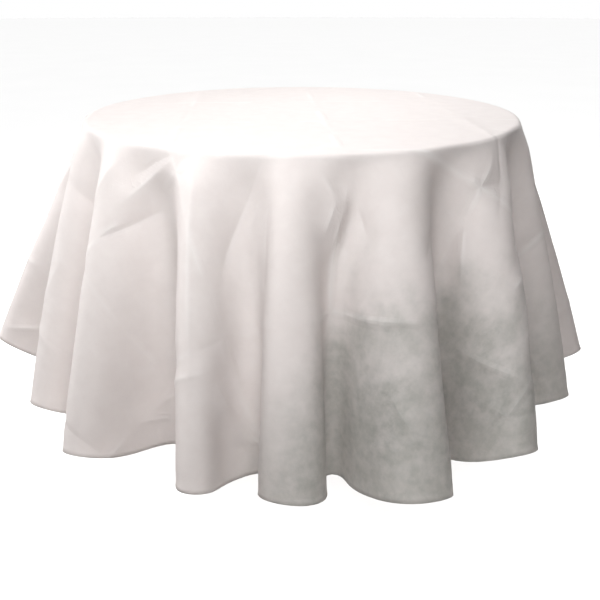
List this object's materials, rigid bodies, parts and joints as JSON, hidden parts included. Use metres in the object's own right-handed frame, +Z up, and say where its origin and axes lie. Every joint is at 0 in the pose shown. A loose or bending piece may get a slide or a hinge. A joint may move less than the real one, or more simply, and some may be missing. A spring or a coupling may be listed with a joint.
{
  "type": "round tablecloth draped over a folding table",
  "caption": "Round non-woven cloth draped in deep flutes over a round folding table; the cloth lifts off and both leg frames fold flat.",
  "frame": {"origin": "on the floor under the middle of the table", "axes": "+Z up, -Y towards the front, leg frame a on the +X side"},
  "size_m": [1.6029, 1.699, 0.7415],
  "materials": {
    "cloth": "white spunbond non-woven, matt, slightly see-through",
    "plywood": "sealed birch plywood",
    "edging": "black extruded edging, satin",
    "batten_wood": "planed softwood",
    "zinc_screw": "bright zinc",
    "zinc_plate": "zinc-plated strip",
    "bracket_paint": "dark powder coat",
    "frame_paint": "grey hammered powder coat",
    "foot_rubber": "black rubber"
  },
  "bodies": {
    "table": {"tabletop": "plywood", "edge_band": "edging", "batten_front": "batten_wood", "batten_back": "batten_wood", "batten_screws": "zinc_screw", "spacer_b_front": "batten_wood", "spacer_b_back": "batten_wood", "spacer_b_stay": "batten_wood", "pivot_bracket_a_front": "bracket_paint", "pivot_bracket_a_back": "bracket_paint", "pivot_bracket_b_front": "bracket_paint", "pivot_bracket_b_back": "bracket_paint", "bracket_screws_a": "zinc_screw", "bracket_screws_b": "zinc_screw", "stay_anchor_a": "bracket_paint", "stay_anchor_b": "bracket_paint", "anchor_screws_a": "zinc_screw", "anchor_screws_b": "zinc_screw", "anchor_rivet_a": "zinc_plate", "anchor_rivet_b": "zinc_plate"},
    "cloth": {"tablecloth": "cloth"},
    "leg_frame_a": {"leg_tube_a": "frame_paint", "cross_brace_a": "frame_paint", "foot_caps_a": "foot_rubber", "stay_tab_a": "frame_paint", "tab_rivet_a": "zinc_plate"},
    "upper_stay_a": {"upper_link_a": "zinc_plate", "knee_rivet_a_upper": "zinc_plate"},
    "lower_stay_a": {"lower_link_a": "zinc_plate", "knee_rivet_a_lower": "zinc_plate"},
    "leg_frame_b": {"leg_tube_b": "frame_paint", "cross_brace_b": "frame_paint", "foot_caps_b": "foot_rubber", "stay_tab_b": "frame_paint", "tab_rivet_b": "zinc_plate"},
    "upper_stay_b": {"upper_link_b": "zinc_plate", "knee_rivet_b_upper": "zinc_plate"},
    "lower_stay_b": {"lower_link_b": "zinc_plate", "knee_rivet_b_lower": "zinc_plate"}
  },
  "joints": [
    {"name": "cloth_lift", "type": "slide", "parent": "table", "child": "cloth", "axis": [0, 0, 1], "range_m": [0, 0.68]},
    {"name": "leg_fold_a", "type": "hinge", "parent": "table", "child": "leg_frame_a", "pos_m": [0.36, 0, 0.682], "axis": [0, 1, 0], "range_deg": [0, 90]},
    {"name": "upper_stay_turn_a", "type": "hinge", "parent": "table", "child": "upper_stay_a", "pos_m": [0.06, 0, 0.702], "axis": [0, -1, 0], "range_deg": [0, 43.97]},
    {"name": "lower_stay_turn_a", "type": "hinge", "parent": "leg_frame_a", "child": "lower_stay_a", "pos_m": [0.34, 0, 0.432], "axis": [0, 1, 0], "range_deg": [0, 46.05]},
    {"name": "leg_fold_b", "type": "hinge", "parent": "table", "child": "leg_frame_b", "pos_m": [-0.36, 0, 0.65], "axis": [0, -1, 0], "range_deg": [0, 90]},
    {"name": "upper_stay_turn_b", "type": "hinge", "parent": "table", "child": "upper_stay_b", "pos_m": [-0.06, 0, 0.67], "axis": [0, 1, 0], "range_deg": [0, 43.97]},
    {"name": "lower_stay_turn_b", "type": "hinge", "parent": "leg_frame_b", "child": "lower_stay_b", "pos_m": [-0.34, 0, 0.4], "axis": [0, -1, 0], "range_deg": [0, 46.05]}
  ],
  "couplings": [
    {"joint": "upper_stay_turn_a", "follows": "leg_fold_a", "ratio": 0.48843},
    {"joint": "lower_stay_turn_a", "follows": "leg_fold_a", "ratio": 0.51157},
    {"joint": "upper_stay_turn_b", "follows": "leg_fold_b", "ratio": 0.48843},
    {"joint": "lower_stay_turn_b", "follows": "leg_fold_b", "ratio": 0.51157}
  ]
}
